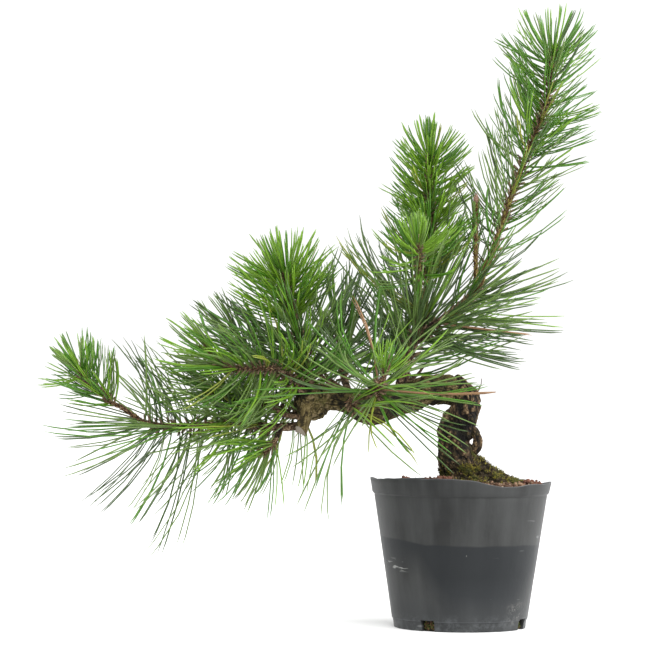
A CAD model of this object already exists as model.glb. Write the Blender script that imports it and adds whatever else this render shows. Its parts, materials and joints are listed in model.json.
"""Looks of a potted Japanese black pine, laid out as an add-on and run as a script.

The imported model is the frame. Pot, soil, moss, limbs, shoots and needles are surfaces worked out with
numpy round it. Shapes are worked out in millimetres in the frame's axes and put into meshes in metres.
"""

import json
import math
from collections import namedtuple

import bpy
import numpy as np
from bpy.props import FloatProperty, FloatVectorProperty, PointerProperty
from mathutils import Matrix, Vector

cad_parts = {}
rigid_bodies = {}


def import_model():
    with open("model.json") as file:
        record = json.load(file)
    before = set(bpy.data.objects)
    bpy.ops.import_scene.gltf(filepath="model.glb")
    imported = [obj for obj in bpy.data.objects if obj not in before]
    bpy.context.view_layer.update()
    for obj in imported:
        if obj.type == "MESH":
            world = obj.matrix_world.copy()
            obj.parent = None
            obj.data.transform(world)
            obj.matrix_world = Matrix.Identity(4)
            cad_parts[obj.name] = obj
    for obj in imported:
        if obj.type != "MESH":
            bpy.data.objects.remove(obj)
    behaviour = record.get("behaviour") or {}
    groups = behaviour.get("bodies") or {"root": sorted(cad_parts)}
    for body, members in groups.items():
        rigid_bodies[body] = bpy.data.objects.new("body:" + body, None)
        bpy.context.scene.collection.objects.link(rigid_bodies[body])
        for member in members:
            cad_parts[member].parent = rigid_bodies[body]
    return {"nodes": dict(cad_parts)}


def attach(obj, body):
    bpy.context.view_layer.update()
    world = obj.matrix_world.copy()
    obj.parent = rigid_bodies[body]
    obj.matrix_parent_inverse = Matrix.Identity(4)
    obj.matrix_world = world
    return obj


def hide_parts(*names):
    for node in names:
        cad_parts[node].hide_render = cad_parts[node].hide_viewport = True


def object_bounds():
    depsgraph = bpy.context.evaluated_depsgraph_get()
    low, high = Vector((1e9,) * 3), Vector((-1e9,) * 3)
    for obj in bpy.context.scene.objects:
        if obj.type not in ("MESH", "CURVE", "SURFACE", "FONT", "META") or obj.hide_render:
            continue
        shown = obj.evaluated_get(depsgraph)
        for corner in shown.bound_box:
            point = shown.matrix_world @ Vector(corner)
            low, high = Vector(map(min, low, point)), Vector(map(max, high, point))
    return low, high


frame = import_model()
CAD_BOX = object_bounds()

bl_info = {
    "name": "Potted black pine",
    "version": (1, 0, 0),
    "blender": (4, 5, 0),
    "location": "3D View > Sidebar > Pine",
    "description": "Builds a potted black pine round its packed model",
    "category": "Add Mesh",
}

MM = 0.001
SEED = 11
GOLDEN_TURN = math.radians(137.508)
FULL_TURN = 2.0 * math.pi

# Pot, in millimetres
POT_HEIGHT = 124.0
RIM_RADIUS = 75.0
FOOT_RADIUS = 55.0
WALL = 1.3
POT_FLOOR = 2.0
LIP_BOTTOM = 110.5
LIP_PROUD = 1.3
FOOT_TOP = 8.0
FOOT_SET_IN = 0.5
RIM_WAVE_FROM = 112.0
NOTCH_WIDTH = 12.0
NOTCH_HEIGHT = 9.0
NOTCH_DEPTH = 4.0
NOTCH_TURNS = (-120.5, -25.0, 62.0, 152.0)
NOTCH_HALF_TURN = math.asin(0.5 * NOTCH_WIDTH / FOOT_RADIUS)
NOTCH_BACK = FOOT_RADIUS - FOOT_SET_IN - NOTCH_DEPTH
POT_COLUMNS = 288
MIDDLE_RING = 18.0
DRAIN_GRAINS = 90
DRAIN_SHADES = (("drain_moss", (0.060, 0.072, 0.018), "moss"),
                ("drain_crumbs", (0.085, 0.045, 0.024), "soil"))

# Soil and moss
SOIL_TOP = 121.4
RIGHT_FALL = 0.045
SOIL_RADIUS = 71.5
MOSS_PROFILE = ((2.0, 25.6), (5.0, 25.0), (9.0, 20.0), (15.0, 13.0), (22.0, 7.5), (31.0, 3.2), (38.0, 0.9),
                (40.0, -1.5))
MOSS_HEIGHT = 26.0
MOSS_FOOT_X = 20.0
MOSS_LEAN = 16.0
# Under the soil: its points (radius, height), and at heights of the wall the gap that it leaves there
SOIL_UNDERSIDE = ((48.5, 12.0), (48.5, 3.0), (2.0, 3.0))
SOIL_WALL_GAPS = ((106.0, 0.5), (60.0, 0.4), (15.0, 0.6))
SOIL_COLUMNS = 220
# Loose grains: name, colour, count and size
GRAINS = (("soil_grains_brown", (0.065, 0.036, 0.022), 1700, 1.25),
          ("soil_grains_tan", (0.185, 0.118, 0.075), 560, 1.0),
          ("soil_grains_pale", (0.42, 0.34, 0.26), 150, 0.8))
GRAIN_REACH = 69.5
CLOD_HEAPS = ((-46.0, -40.0, 123.4), (-25.0, -44.0, 124.0), (-19.0, -40.0, 124.6), (-13.0, -38.0, 124.2),
              (60.0, -14.0, 120.6), (54.0, -20.0, 120.6))
CLODS_IN_A_HEAP = 14
CHIPS = 46
CHIP_REACH = 68.0
# Moss leaves: name, colour, and the least and most of the noise that deals them out
MOSS_SHADES = (("moss_leaves_green", (0.056, 0.060, 0.006), 0.0, 0.445),
               ("moss_leaves_olive", (0.225, 0.190, 0.022), 0.445, 0.515),
               ("moss_leaves_brown", (0.042, 0.029, 0.012), 0.515, 2.0))
MOSS_LEAVES = 15000
TRUNK_MOSS_LEAVES = 5000
MOSS_BARE = 0.53

# Limbs: a route of (x, y, z, radius) points, rings along and sides round, size of a bark plate, depth of the
# relief, and lumps or pinches, each with its place along, the way it faces, its span, spread and push
Limb = namedtuple("Limb", "node route rings sides plate depth bumps", defaults=[()])
LIMBS = [
    Limb("trunk",
         [(2, 0, 112, 22), (1.5, 0, 122, 18.8), (-1, 0, 132, 16.8), (-3.2, -0.5, 144, 16.3),
          (-1.9, -1, 163, 14.7), (-1, -2, 173, 14.3), (1, -2, 185, 14.5), (1.2, -2, 193, 13.8),
          (-0.5, -2, 200, 11.0), (-4, -2, 205.5, 6.0), (-6, -2, 207.5, 2.0)],
         230, 180, (4.8, 4.8, 7.2), 2.6,
         [(90.0, (1, 0, 0.4), 6.5, 1.0, -5.5), (42.6, (1, -0.1, 0), 3.2, 0.95, -7.8),
          (50.0, (-1, -0.3, 0), 8.0, 0.75, 3.4), (24.0, (-0.3, -1, 0), 7.0, 0.5, 1.6),
          (71.0, (-1, -0.2, 0), 5.5, 0.85, -5.0),
          (50.0, (1, -0.1, 0), 6.0, 0.6, -1.6), (56.0, (0, -1, 0), 5.0, 0.4, -2.2),
          (38.0, (-0.2, -1, 0), 6.0, 0.4, -2.4)]),
    Limb("trunk_arm",
         [(-2, -2, 194, 10.6), (-14, -2, 196, 12.0), (-27, -3, 195, 12.4), (-42, -5, 191, 12.2),
          (-58, -9, 186, 12.6), (-75, -12, 182.5, 15.0), (-90, -9, 185, 12.2), (-107, -3, 188.5, 9.8),
          (-117, -1, 187.5, 13.6), (-125, -2, 184, 15.0), (-131, -3, 179, 11.0), (-135, -3, 175, 4.0)],
         290, 160, (4.8, 4.8, 8.4), 2.4,
         [(72.0, (0, -0.6, -1), 8.0, 0.7, 2.0), (98.0, (0, -0.3, -1), 6.0, 0.7, -1.8),
          (40.0, (0, -0.4, -1), 7.0, 0.6, 1.6)]),
    Limb("trunk_stub",
         [(-127, -12.5, 187, 5.4), (-129.5, -11, 173, 5.8), (-134, -6, 158, 5.3)],
         90, 64, (3.0, 3.0, 7.0), 0.4),
    Limb("bough_right",
         [(-52, -5, 192, 5.0), (-48, -2, 208, 4.5), (-43, 4, 225, 4.1), (-39, 9, 237, 3.9),
          (-36, 11, 247, 3.4)],
         110, 44, (2.2, 2.2, 3.2), 1.1),
    Limb("bough_leader",
         [(-39, 9, 236, 3.5), (-29, 8.5, 244, 3.4), (-20, 8, 252, 3.3), (-10, 7.5, 257.5, 3.0)],
         80, 40, (2.2, 2.2, 3.2), 1.0),
    Limb("bough_mid",
         [(-125, 0, 190, 4.6), (-127, 4, 206, 3.8), (-129, 6, 221, 3.2)],
         70, 40, (2.2, 2.2, 3.2), 1.0),
    Limb("bough_left",
         [(-124, -7, 186, 4.0), (-136, -14, 200, 3.2), (-148, -21, 210, 2.8), (-157, -24, 214, 2.4)],
         80, 36, (2.0, 2.0, 3.0), 0.9),
    Limb("bough_left_back",
         [(-124, 3, 186, 4.0), (-136, 14, 198, 3.2), (-148, 24, 207, 2.8), (-157, 31, 212, 2.4)],
         80, 36, (2.0, 2.0, 3.0), 0.9),
    Limb("bough_low",
         [(-127, 0, 178, 3.4), (-142, 3, 174, 3.0), (-159, 8, 181, 2.4)],
         70, 36, (2.0, 2.0, 3.0), 0.8),
    Limb("bough_far",
         [(-131, -4, 166, 3.6), (-147, -6, 164.5, 3.2), (-166, -6, 165, 3.0), (-188, -4, 167.5, 2.8),
          (-206, -2, 166, 2.5)],
         130, 36, (2.0, 2.0, 3.0), 0.8),
    Limb("bough_under",
         [(-149, -6, 164.5, 2.4), (-152, -12, 158, 2.2), (-154, -16, 153.5, 2.0)],
         36, 28, (1.8, 1.8, 2.6), 0.6),
    Limb("bough_front",
         [(-73, -14, 184, 3.4), (-73, -30, 188, 2.8), (-72, -40, 191.5, 2.4)],
         56, 32, (1.9, 1.9, 2.8), 0.7),
    Limb("bough_front_low",
         [(-88, -10, 184, 3.2), (-91, -26, 185.5, 2.6), (-93, -36, 186.5, 2.3)],
         56, 32, (1.9, 1.9, 2.8), 0.7),
    Limb("bough_back",
         [(-92, -6, 186, 4.0), (-94, 14, 193, 3.3), (-97, 34, 203, 2.8)],
         80, 36, (2.0, 2.0, 3.0), 0.8),
    Limb("bough_back_right",
         [(-56, -6, 187, 3.8), (-53, 14, 195, 3.2), (-50, 34, 206, 2.7)],
         80, 36, (2.0, 2.0, 3.0), 0.8),
]

# Barks: (height, colour) from crack to ridge, how much lichen, and the scale of the grain
BARKS = {
    "trunk_bark": ([(0.14, (0.002, 0.0014, 0.0008)), (0.42, (0.013, 0.008, 0.004)),
                    (0.62, (0.044, 0.028, 0.013)), (0.82, (0.092, 0.059, 0.029)),
                    (0.98, (0.200, 0.138, 0.078))], 0.5, 620.0),
    "arm_bark": ([(0.10, (0.006, 0.0045, 0.002)), (0.38, (0.024, 0.018, 0.006)),
                  (0.62, (0.058, 0.045, 0.015)), (0.82, (0.105, 0.080, 0.031)),
                  (0.98, (0.19, 0.145, 0.078))], 0.9, 900.0),
    "bough_bark": ([(0.10, (0.008, 0.005, 0.003)), (0.38, (0.045, 0.027, 0.014)),
                    (0.66, (0.125, 0.080, 0.046)), (0.95, (0.30, 0.215, 0.14))], 0.25, 1400.0),
    "stub_bark": ([(0.02, (0.020, 0.014, 0.006)), (0.22, (0.070, 0.052, 0.020)),
                   (0.55, (0.130, 0.098, 0.038)), (0.92, (0.20, 0.155, 0.075))], 0.35, 1200.0),
    "young_stem": ([(0.1, (0.036, 0.020, 0.007)), (0.4, (0.120, 0.078, 0.022)),
                    (0.7, (0.185, 0.175, 0.036)), (0.95, (0.27, 0.25, 0.08))], 0.0, 1500.0),
    "old_stem": ([(0.1, (0.014, 0.007, 0.004)), (0.4, (0.080, 0.045, 0.022)),
                  (0.7, (0.19, 0.118, 0.062)), (0.95, (0.34, 0.25, 0.155))], 0.1, 1500.0),
}
BARK_KINDS = {"trunk": "trunk_bark", "trunk_knot": "trunk_bark", "trunk_arm": "arm_bark",
              "trunk_stub": "stub_bark"}
# Furrows in the bark: size in plates, narrowness, depth and step of the seed
FURROWS = ((1.9, 0.045, 1.0, 11), (1.0, 0.05, 0.7, 13), (0.5, 0.05, 0.3, 17))
FURROW_SHARE, FLAKE_SHARE, GRAIN_SHARE = 0.50, 0.27, 0.23
LICHEN = (0.075, 0.070, 0.018)
CUT_WOOD = ((0.16, 0.13, 0.10), (0.40, 0.35, 0.29))

# The loop of wood beside the trunk's hole, which is no node of its own
KNOTS = [
    Limb("trunk_knot",
         [(2, -4, 169, 4.4), (8.5, -5, 165, 3.9), (12.6, -6, 159, 3.4), (13.6, -6, 153.5, 3.8),
          (11.5, -6, 148, 4.4), (4, -4, 143, 5.0)],
         80, 48, (3.4, 3.4, 7.0), 1.1),
]

# The stub's slanting saw cut: a place on it and the way that it faces
STUB_CUT_PLACE = (-133.2, -5.3, 159.0)
STUB_CUT_FACING = (-0.55, -0.45, -0.70)

# Fine twigs and roots of old shoots: routes of (x, y, z, radius) points
TWIGS = [
    [(5, -8, 195, 0.9), (9.5, -9, 195.5, 0.6), (13.4, -9, 196, 0.5), (14.2, -9, 199, 0.45),
     (12.2, -9, 200, 0.4), (11.4, -9, 198, 0.35)],
    [(13.5, -9, 196.5, 0.4), (15.6, -9, 201, 0.35), (16.0, -9, 206, 0.3)],
    [(-161, -14, 183, 1.5), (-152, -15, 178, 1.6), (-143, -15, 174, 1.9), (-134, -13, 173, 2.3)],
    [(-124, -8, 200, 2.4), (-128, -12, 208, 2.0), (-134, -16, 214, 1.7), (-141, -19, 219, 1.3)],
    [(-101, -6, 190, 2.4), (-106, -12, 198, 2.0), (-114, -16, 205, 1.6), (-121, -18, 213, 1.2)],
    [(-72, -14, 190, 2.2), (-67, -20, 199, 1.8), (-64, -24, 208, 1.5), (-63, -26, 216, 1.2)],
    [(-142, 3, 174, 2.0), (-151, -3, 180, 1.6), (-160, -8, 188, 1.4), (-168, -10, 197, 1.1)],
    [(-166, -6, 165, 2.0), (-172, 3, 172, 1.6), (-180, 9, 180, 1.3), (-187, 12, 189, 1.0)],
    [(-94, 14, 193, 2.2), (-104, 22, 200, 1.7), (-113, 27, 208, 1.4), (-118, 30, 217, 1.1)],
    [(-51, 25, 200, 2.0), (-43, 32, 203, 1.6), (-36, 37, 208, 1.3), (-31, 41, 214, 1.0)],
]

# Buds: the stem whose tip carries one, its length and its radius
BUDS = (("candle", 9.0, 2.3), ("centre_low", 6.0, 1.5), ("leader", 6.0, 1.2), ("centre", 6.0, 1.2),
        ("mid", 6.0, 1.3), ("far", 5.0, 1.1), ("front", 5.0, 1.1))
BUD_SCALES = 34
STEM_SIDES = 16
SCALE_STEP = 0.75

# Shoots: the stems that needles stand on
Shoot = namedtuple("Shoot", "name route radii young")
SHOOTS = [
    Shoot("leader", [(-12, 7.5, 256.5), (-3, 7, 262.5), (5, 6.5, 271), (13, 6, 281), (19, 6, 297),
                     (26, 6, 314), (38, 4, 352), (53, 2, 393), (68, 0, 434), (74, 0, 479)], (2.9, 1.5), True),
    Shoot("candle", [(12, 6, 280), (11, 2, 293), (10.5, -1, 325), (10.5, -2, 352)], (1.9, 1.8), True),
    Shoot("centre", [(-37, 11, 245), (-33, 12, 254), (-31, 12, 264), (-29, 13, 292), (-26, 16, 325),
                     (-28, 16, 358), (-27, 14, 394)], (2.9, 1.4), True),
    Shoot("centre_low", [(-32, 12, 259), (-34, 2, 270), (-36, -16, 286), (-37, -28, 301), (-38, -34, 319)],
          (2.0, 1.4), True),
    Shoot("mid", [(-129, 6, 219), (-132, 6, 232), (-137, 5, 243), (-142, 3, 257), (-145, 1, 276),
                  (-148, 0, 295)], (2.8, 1.5), True),
    Shoot("left", [(-156, -24, 213), (-175, -28, 213), (-193, -30, 214), (-206, -30, 221),
                   (-214, -28, 231)], (2.2, 1.3), False),
    Shoot("left_back", [(-156, 31, 211), (-168, 38, 218), (-184, 44, 228), (-194, 46, 240)],
          (2.2, 1.3), False),
    Shoot("low", [(-158, 8, 180.5), (-176, 12, 186), (-194, 14, 188), (-209, 14, 193)], (2.2, 1.3), False),
    Shoot("far", [(-204, -2, 166), (-225, 0, 164.5), (-244, 0, 164), (-262, 0, 167), (-281, -2, 179),
                  (-291, -3, 184.5), (-309, -4, 200), (-320, -4, 216)], (2.4, 1.5), False),
    Shoot("under", [(-153.5, -15, 154), (-158, -19, 148), (-164, -22, 143)], (2.0, 1.5), False),
    Shoot("front", [(-72, -39, 191), (-71, -45, 194.5), (-69, -50, 200), (-65, -51, 210), (-61, -49, 222)],
          (2.3, 1.6), False),
    Shoot("front_low", [(-93, -35, 186.5), (-92, -42, 185), (-88, -48, 180)], (2.2, 1.6), False),
    Shoot("back", [(-96, 33, 202.5), (-99, 42, 213), (-101, 50, 228), (-102, 56, 246)], (2.7, 1.3), False),
    Shoot("back_right", [(-50, 33, 205.5), (-48, 42, 214), (-47, 52, 226), (-46, 60, 238)],
          (2.6, 1.3), False),
]

# Needle kinds and how a tuft deals them out
KINDS = ("bright", "fresh", "middle", "deep", "yellow", "dead")
MIXES = {
    "new": (0.70, 0.27, 0.02, 0.0, 0.01, 0.0),
    "summer": (0.24, 0.58, 0.15, 0.02, 0.01, 0.0),
    "full": (0.02, 0.22, 0.52, 0.225, 0.01, 0.005),
    "old": (0.03, 0.12, 0.455, 0.365, 0.022, 0.008),
    "shaded": (0.015, 0.07, 0.42, 0.475, 0.015, 0.005),
    "tired": (0.32, 0.22, 0.375, 0.01, 0.07, 0.005),
}

# Tufts: pairs of needles on a span of a stem. Length and opening are their values at the span's two ends,
# lean is added to each direction, droop is the share of its length that a tip sinks, and curl is the share
# that it wanders. Width is a needle's width in millimetres.
Tuft = namedtuple("Tuft", "stem pairs span length opening lean droop curl width mix seed")
TUFT_ROWS = {
    "leader": [
        (36, (0.95, 1), (50, 44), (60, 8), (0, 0, 0), 0, 0.04, 1.3, "summer", 1),
        (130, (0.62, 0.95), (55, 50), (52, 56), (0, 0, 0), 0, 0.05, 1.15, "summer", 2),
        (56, (0.34, 0.62), (58, 54), (50, 54), (0, 0, 0.08), -0.03, 0.09, 1.13, "full", 3),
        (12, (0.19, 0.34), (60, 56), (46, 50), (0, 0, 0), -0.05, 0.09, 1.13, "full", 4),
        (32, (0.01, 0.14), (78, 72), (50, 42), (0.3, 0, 0.1), 0.02, 0.09, 1.36, "old", 5),
    ],
    "bough_leader": [
        (44, (0.1, 0.95), (80, 76), (54, 36), (0.4, 0, -0.1), 0.02, 0.09, 1.36, "old", 6),
    ],
    "candle": [
        (12, (0.45, 0.9), (20, 14), (20, 12), (0, 0, 0), 0, 0.04, 1.1, "summer", 7),
    ],
    "centre": [
        (36, (0.92, 0.99), (38, 30), (62, 6), (0, 0, 0), 0, 0.04, 1.3, "new", 8),
        (130, (0.55, 0.92), (42, 37), (54, 58), (0, 0, 0), 0, 0.05, 1.2, "new", 9),
        (76, (0.28, 0.55), (54, 46), (46, 58), (0, 0, 0), 0, 0.05, 1.15, "summer", 10),
        (46, (0.02, 0.12), (94, 86), (54, 40), (-0.35, 0, 0.1), 0.02, 0.09, 1.36, "shaded", 11),
    ],
    "bough_right": [
        (32, (0.45, 0.95), (88, 78), (60, 42), (-0.2, 0, 0), 0.03, 0.09, 1.36, "old", 12),
    ],
    "centre_low": [
        (36, (0.85, 0.95), (35, 30), (72, 14), (0, 0, 0), 0, 0.04, 1.25, "new", 13),
        (24, (0.45, 0.85), (42, 36), (60, 60), (0, 0, 0), 0, 0.05, 1.2, "summer", 14),
    ],
    "mid": [
        (38, (0.87, 0.95), (46, 38), (68, 8), (-0.1, 0, 0), 0, 0.04, 1.3, "new", 15),
        (90, (0.42, 0.87), (52, 48), (60, 58), (-0.1, 0, 0.1), 0, 0.05, 1.25, "new", 16),
        (40, (0.02, 0.3), (88, 80), (66, 48), (-0.1, 0, 0.1), 0.05, 0.09, 1.36, "old", 17),
    ],
    "bough_mid": [
        (44, (0.3, 0.9), (84, 76), (70, 58), (0, -0.2, 0), 0.03, 0.1, 1.36, "old", 18),
    ],
    "left": [
        (62, (0.05, 0.85), (60, 46), (70, 20), (0, 0, 0), 0.06, 0.11, 1.36, "tired", 19),
    ],
    "bough_left": [
        (50, (0.35, 1), (68, 62), (72, 60), (0, -0.1, -0.1), 0.03, 0.11, 1.36, "tired", 20),
    ],
    "left_back": [
        (48, (0.05, 0.85), (62, 50), (64, 14), (0.1, 0, 0), 0.05, 0.11, 1.36, "old", 21),
    ],
    "low": [
        (50, (0.05, 1), (66, 52), (62, 16), (0, 0, 0), 0.08, 0.11, 1.36, "tired", 22),
    ],
    "far": [
        (32, (0.9, 0.98), (34, 28), (64, 10), (0, 0, 0), 0, 0.04, 1.25, "summer", 23),
        (48, (0.64, 0.9), (38, 36), (50, 58), (0.1, 0, 0.4), 0, 0.05, 1.15, "summer", 24),
        (26, (0.05, 0.44), (76, 74), (58, 48), (0, 0, 0.9), 0.02, 0.09, 1.24, "old", 25),
        (8, (0.25, 0.46), (90, 82), (50, 35), (-0.5, 0, 0), 0.02, 0.09, 1.24, "old", 26),
        (24, (0.05, 0.4), (96, 92), (66, 48), (-0.2, 0, -0.9), 0.06, 0.06, 1.24, "old", 27),
    ],
    "bough_far": [
        (36, (0.25, 0.9), (66, 68), (62, 58), (0, 0, -0.6), 0.02, 0.11, 1.3, "tired", 28),
        (24, (0.4, 0.95), (66, 70), (60, 54), (0.1, 0, 0.7), 0.04, 0.11, 1.3, "old", 29),
    ],
    "under": [
        (18, (0.1, 1), (52, 46), (66, 20), (-0.3, 0, 0.1), 0.05, 0.11, 1.3, "tired", 30),
    ],
    "front": [
        (17, (0.6, 0.85), (30, 22), (54, 12), (0, 0, 0), 0, 0.04, 1.2, "new", 31),
        (48, (0.05, 0.42), (96, 86), (76, 48), (0, 0, -0.1), 0.13, 0.15, 1.36, "full", 32),
    ],
    "front_low": [
        (18, (0.1, 1), (88, 80), (70, 24), (0, 0, 0), 0.08, 0.16, 1.3, "tired", 33),
    ],
    "back": [
        (60, (0.05, 1), (78, 62), (70, 14), (0, 0, 0), 0.08, 0.11, 1.36, "old", 34),
    ],
    "back_right": [
        (54, (0.05, 1), (74, 58), (70, 14), (0, 0, 0), 0.08, 0.11, 1.36, "old", 35),
    ],
    "bough_low": [
        (34, (0.1, 0.95), (56, 52), (78, 62), (0, 0, 0), 0.05, 0.11, 1.3, "tired", 36),
    ],
}
TUFTS = [Tuft(stem, *row) for stem, rows in TUFT_ROWS.items() for row in rows]
CLUMPING = 0.40
OLD_CLUMPING = 0.62
OLD_MIXES = ("old", "shaded")
BOW = 0.30
# A needle's rings: their shares of its length and of its width
NEEDLE_RINGS = np.array([0.0, 0.12, 0.36, 0.64, 0.90, 1.0])
NEEDLE_SWELL = np.array([0.62, 0.95, 1.0, 1.0, 0.88, 0.22])
SHEATH_LENGTH = 6.5
SHEATH_SHARE = 0.13

# Places in front of the wood that stay bare of needles: low and high corners of boxes
BARE_BOXES = (((-140.0, -140.0, 164.0), (-103.0, -9.0, 192.0)),
              ((4.0, -140.0, 276.0), (14.0, 9.0, 316.0)))
YOUNG_MASSES = ("needles_leader", "needles_centre", "needles_mid")
WOOD_GAP = 0.4
POT_GAP = 1.5
LOWEST_NEEDLE = 3.0
PAST_BOX_LOW = 4.0
PAST_BOX_HIGH = 6.0

# Camera, at the photograph's place
CAMERA_PLACE = (-113.7, -2800.0, 249.2)
CAMERA_FOCUS_PIXELS = 3377.6
PHOTO_PIXELS = 650.0
SENSOR = 36.0
CAMERA_ROLL = math.radians(0.5)

# Floor: rings of (radius, height) in millimetres
FLOOR_RINGS = ((400.0, -12.0), (9000.0, -12.0), (9000.0, 0.0), (400.0, 0.0))

# Lights, in metres: where they aim, and the place and size of each
LIGHT_TARGET = (-0.12, 0.0, 0.26)
KEY_PLACE = (0.12, -1.5, 1.9)
SOFTBOXES = (("right_softbox", (1.9, -0.3, 0.9), 1.6, 1.0), ("left_softbox", (-2.0, 0.9, 0.9), 1.0, 0.4))


def unit(vectors):
    return vectors / np.linalg.norm(vectors, axis=-1, keepdims=True)


def smooth_route(route, count):
    """Points at even distances along the Catmull-Rom curve through a route."""
    points = np.array(route, dtype=float)
    padded = np.vstack([2 * points[0] - points[1], points, 2 * points[-1] - points[-2]])
    p0, p1, p2, p3 = (padded[start:start + len(points) - 1, None] for start in range(4))
    steps = np.linspace(0.0, 1.0, 16, endpoint=False)[None, :, None]
    fine = 0.5 * (2 * p1 + (p2 - p0) * steps + (2 * p0 - 5 * p1 + 4 * p2 - p3) * steps ** 2
                  + (3 * p1 - p0 - 3 * p2 + p3) * steps ** 3)
    fine = np.vstack([fine.reshape(-1, points.shape[1]), points[-1:]])
    strides = np.linalg.norm(np.diff(fine[:, :3], axis=0), axis=1)
    travelled = np.concatenate([[0.0], np.cumsum(strides)])
    wanted = np.linspace(0.0, travelled[-1], count)
    return np.column_stack([np.interp(wanted, travelled, column) for column in fine.T])


def path_frames(points):
    """Two unit vectors square to a path at each of its points, carried along without twist."""
    tangents = unit(np.gradient(points, axis=0))
    held = np.array([0.0, 1.0, 0.0]) if abs(tangents[0, 1]) < 0.8 else np.array([0.0, 0.0, 1.0])
    across = np.empty_like(tangents)
    for index, tangent in enumerate(tangents):
        held = unit(held - tangent * held.dot(tangent))
        across[index] = held
    return across, np.cross(tangents, across)


def sides_of(directions):
    """Two unit vectors square to each direction."""
    helper = np.where(np.abs(directions[..., 2:3]) < 0.9, (0.0, 0.0, 1.0), (1.0, 0.0, 0.0))
    across = unit(np.cross(directions, helper))
    return across, np.cross(directions, across)


def lattice(cell, seed):
    """A fixed number from 0 to 1 for each whole-numbered cell, by mixing its bits."""
    mixed = (cell[..., 0] * 73856093) ^ (cell[..., 1] * 19349663) ^ (cell[..., 2] * 83492791)
    mixed = (mixed + seed * 97411) & 0xFFFFFFFF
    mixed = ((mixed ^ (mixed >> 15)) * 739982445) & 0xFFFFFFFF
    mixed = ((mixed ^ (mixed >> 12)) * 695872825) & 0xFFFFFFFF
    return (mixed ^ (mixed >> 15)) / 4294967295.0


def value_noise(points, seed=0):
    """Noise from 0 to 1: the lattice numbers at the eight corners round a point, blended smoothly."""
    base = np.floor(points).astype(np.int64)
    part = points - base
    part = part * part * (3.0 - 2.0 * part)
    total = np.zeros(points.shape[:-1])
    for corner in np.ndindex(2, 2, 2):
        weight = np.prod(np.where(np.array(corner, bool), part, 1.0 - part), axis=-1)
        total += weight * lattice(base + np.array(corner), seed)
    return total


def layered_noise(points, layers, seed=0):
    """Value noise summed over layers, each twice as fine and half as strong, kept from 0 to 1."""
    total = sum(value_noise(points * 2.0 ** layer, seed + layer) * 0.5 ** layer for layer in range(layers))
    return total / (2.0 - 0.5 ** (layers - 1))


def crack_gap(points, seed):
    """Second nearest less nearest distance to one scattered spot per cell: 0 in cracks between plates."""
    base = np.floor(points).astype(np.int64)
    near = np.full(points.shape[:-1], 9.0)
    second = near.copy()
    for step in np.ndindex(3, 3, 3):
        cell = base + np.array(step) - 1
        spot = cell + np.stack([lattice(cell, seed + axis) for axis in range(3)], axis=-1)
        gap = np.linalg.norm(points - spot, axis=-1)
        second = np.minimum(second, np.maximum(near, gap))
        near = np.minimum(near, gap)
    return second - near


def ring_turns(sides):
    """Even turns round a ring."""
    return np.arange(sides) * FULL_TURN / sides


def turned(across, up, turn):
    """cos turn across + sin turn up."""
    return np.cos(turn) * across + np.sin(turn) * up


def around(radius, turn, height):
    """Points (r cos t, r sin t, z)."""
    return np.stack(np.broadcast_arrays(radius * np.cos(turn), radius * np.sin(turn), height), axis=-1)


def reach_out(direction, length, share):
    """Each direction times its length and every share of it."""
    return direction[:, None] * (length[:, None] * share)[..., None]


def on_path(path, radii, share):
    """Places at shares of a path: the point, the path's direction and its radius there."""
    place = share * (len(path) - 1)
    low = np.minimum(place.astype(int), len(path) - 2)
    point = path[low] + (path[low + 1] - path[low]) * (place - low)[:, None]
    return point, unit(np.gradient(path, axis=0))[low], radii[low][:, None]


def ring_quads(count, sides):
    """Faces with four corners between rings that follow each other."""
    low = np.arange(count - 1)[:, None] * sides
    corner = np.arange(sides)[None, :]
    after = (corner + 1) % sides
    quads = np.stack([low + corner, low + after, low + sides + after, low + sides + corner], axis=-1)
    return quads.reshape(-1, 4)


def closed_rings(rings):
    """Vertices and faces of rings joined in turn, with a pole at the middle of each end ring."""
    count, sides = rings.shape[:2]
    poles = np.stack([rings[0].mean(axis=0), rings[-1].mean(axis=0)])
    verts = np.vstack([rings.reshape(-1, 3), poles])
    corner = np.arange(sides)
    after = (corner + 1) % sides
    last = (count - 1) * sides
    start = np.stack([np.full(sides, count * sides), after, corner], axis=-1)
    end = np.stack([np.full(sides, count * sides + 1), last + corner, last + after], axis=-1)
    return verts, [ring_quads(count, sides), start, end]


def swept_rings(points, radii, sides):
    """Round rings on a path: its point + radius (cos turn across + sin turn up)."""
    across, up = path_frames(points)
    ring = turned(across[:, None], up[:, None], ring_turns(sides)[None, :, None])
    return points[:, None] + np.asarray(radii)[:, None, None] * ring, ring


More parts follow.
